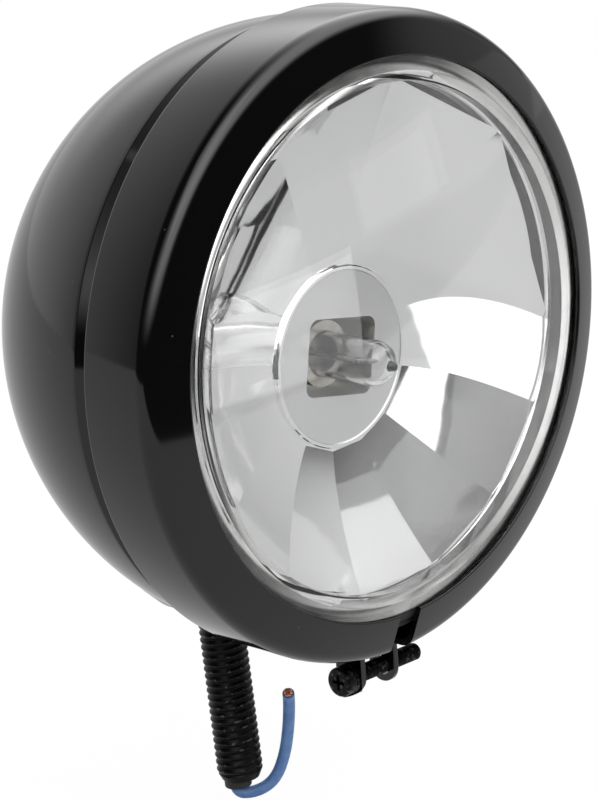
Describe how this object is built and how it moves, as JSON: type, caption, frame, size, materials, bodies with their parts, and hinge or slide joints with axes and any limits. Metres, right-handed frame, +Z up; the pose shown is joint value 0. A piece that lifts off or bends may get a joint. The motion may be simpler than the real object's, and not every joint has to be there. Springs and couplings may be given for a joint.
{
  "type": "auxiliary spot lamp",
  "caption": "Round auxiliary spot lamp for a motorbike: hemispherical bucket, split clamp ring, clear lens over a faceted reflector, hollow threaded stud below with the supply wire.",
  "frame": {"origin": "on the axis of the stud, in the flat seat under the saddle that lies on the bracket", "axes": "+Z up along the stud axis, the lens faces -Y, +X to the right of someone who looks at the lens"},
  "size_m": [0.1276, 0.0892, 0.1722],
  "materials": {
    "black_paint": "gloss",
    "black_zinc": "satin",
    "zinc": "satin",
    "clear_glass": "polished",
    "capsule_glass": "polished",
    "bright_metal": "polished",
    "grey_sealant": "matte",
    "black_rubber": "matte",
    "tungsten": "satin",
    "nickel": "satin",
    "white_ceramic": "matte",
    "brass": "satin",
    "copper": "satin",
    "blue_pvc": "satin",
    "black_pvc": "satin",
    "red_plastic": "satin"
  },
  "bodies": {
    "root": {"bucket": "black_paint", "retaining_ring": "black_paint", "clamp_screw": "black_zinc", "clamp_lock_washer": "black_zinc", "lens": "clear_glass", "lens_sealant": "grey_sealant", "reflector": "bright_metal", "rim_gasket": "black_rubber", "bulb_envelope": "capsule_glass", "bulb_filament": "tungsten", "bulb_support_wires": "tungsten", "bulb_base": "nickel", "bulb_insulator": "white_ceramic", "bulb_clip": "zinc", "bulb_lead": "blue_pvc", "lead_connector": "red_plastic", "inner_lead": "blue_pvc", "ground_terminal": "brass", "ground_lead": "black_pvc", "mounting_stud": "black_zinc", "stud_saddle": "black_paint", "stud_wedge_washer": "zinc", "stud_lock_washer": "zinc", "stud_nut": "zinc", "wire_sleeve": "black_pvc", "supply_wire": "blue_pvc", "wire_strands": "copper"}
  },
  "joints": []
}
